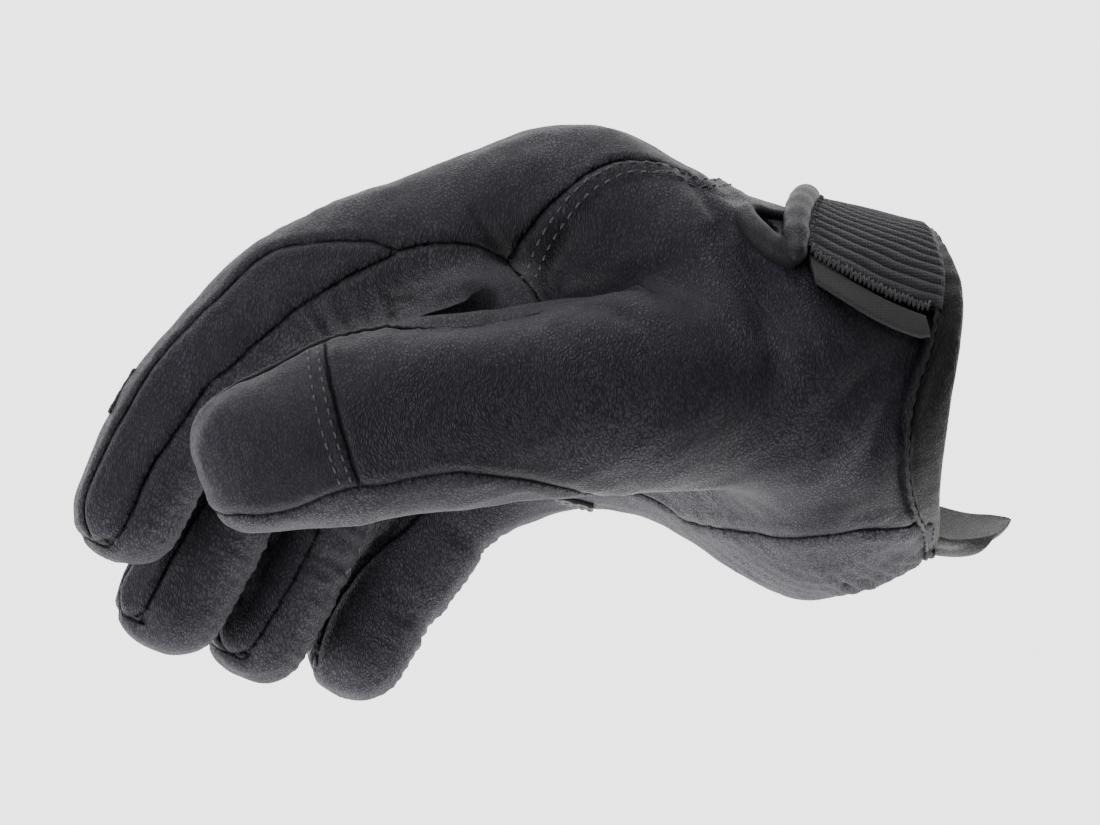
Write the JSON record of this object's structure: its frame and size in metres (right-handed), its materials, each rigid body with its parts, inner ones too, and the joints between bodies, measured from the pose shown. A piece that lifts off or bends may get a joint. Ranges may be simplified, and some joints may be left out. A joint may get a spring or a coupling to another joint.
{
  "type": "needlestick-resistant glove",
  "caption": "Right-hand leather search glove in its worn, half-curled form, with panelled fingers, a capped thumb, an elastic cuff panel with a strap-end roll and a pull tab.",
  "frame": {"origin": "centre of the cuff opening, where the wrist goes in", "axes": "+X from the fingers to the cuff, out of the opening; +Z to the back of the hand; -Y to the thumb side"},
  "size_m": [0.1769, 0.1135, 0.1098],
  "materials": {
    "leather": "near-black goatskin, fine pebbled grain, satin",
    "palm_leather": "near-black goatskin, a little more matte",
    "binding": "black woven edge binding",
    "elastic": "charcoal ribbed elastic knit",
    "tag_cloth": "grey woven ribbon, bare",
    "tab_cloth": "grey suede-like leather, matte",
    "patch": "black gripping patch, matte"
  },
  "bodies": {
    "root": {"back_panel": "leather", "knuckle_panel": "leather", "palm_panel": "palm_leather", "index_strip_thumb_side": "leather", "index_strip_little_side": "leather", "middle_strip_thumb_side": "leather", "middle_strip_little_side": "leather", "ring_strip_thumb_side": "leather", "ring_strip_little_side": "leather", "little_strip_thumb_side": "leather", "little_strip_little_side": "leather", "thumb_cap": "leather", "thumb_underside": "palm_leather", "cuff_binding": "binding", "elastic_panel": "elastic", "strap_end_roll": "leather", "notch_piping": "binding", "tag": "tag_cloth", "pull_tab": "tab_cloth", "palm_patch": "patch"}
  },
  "joints": []
}
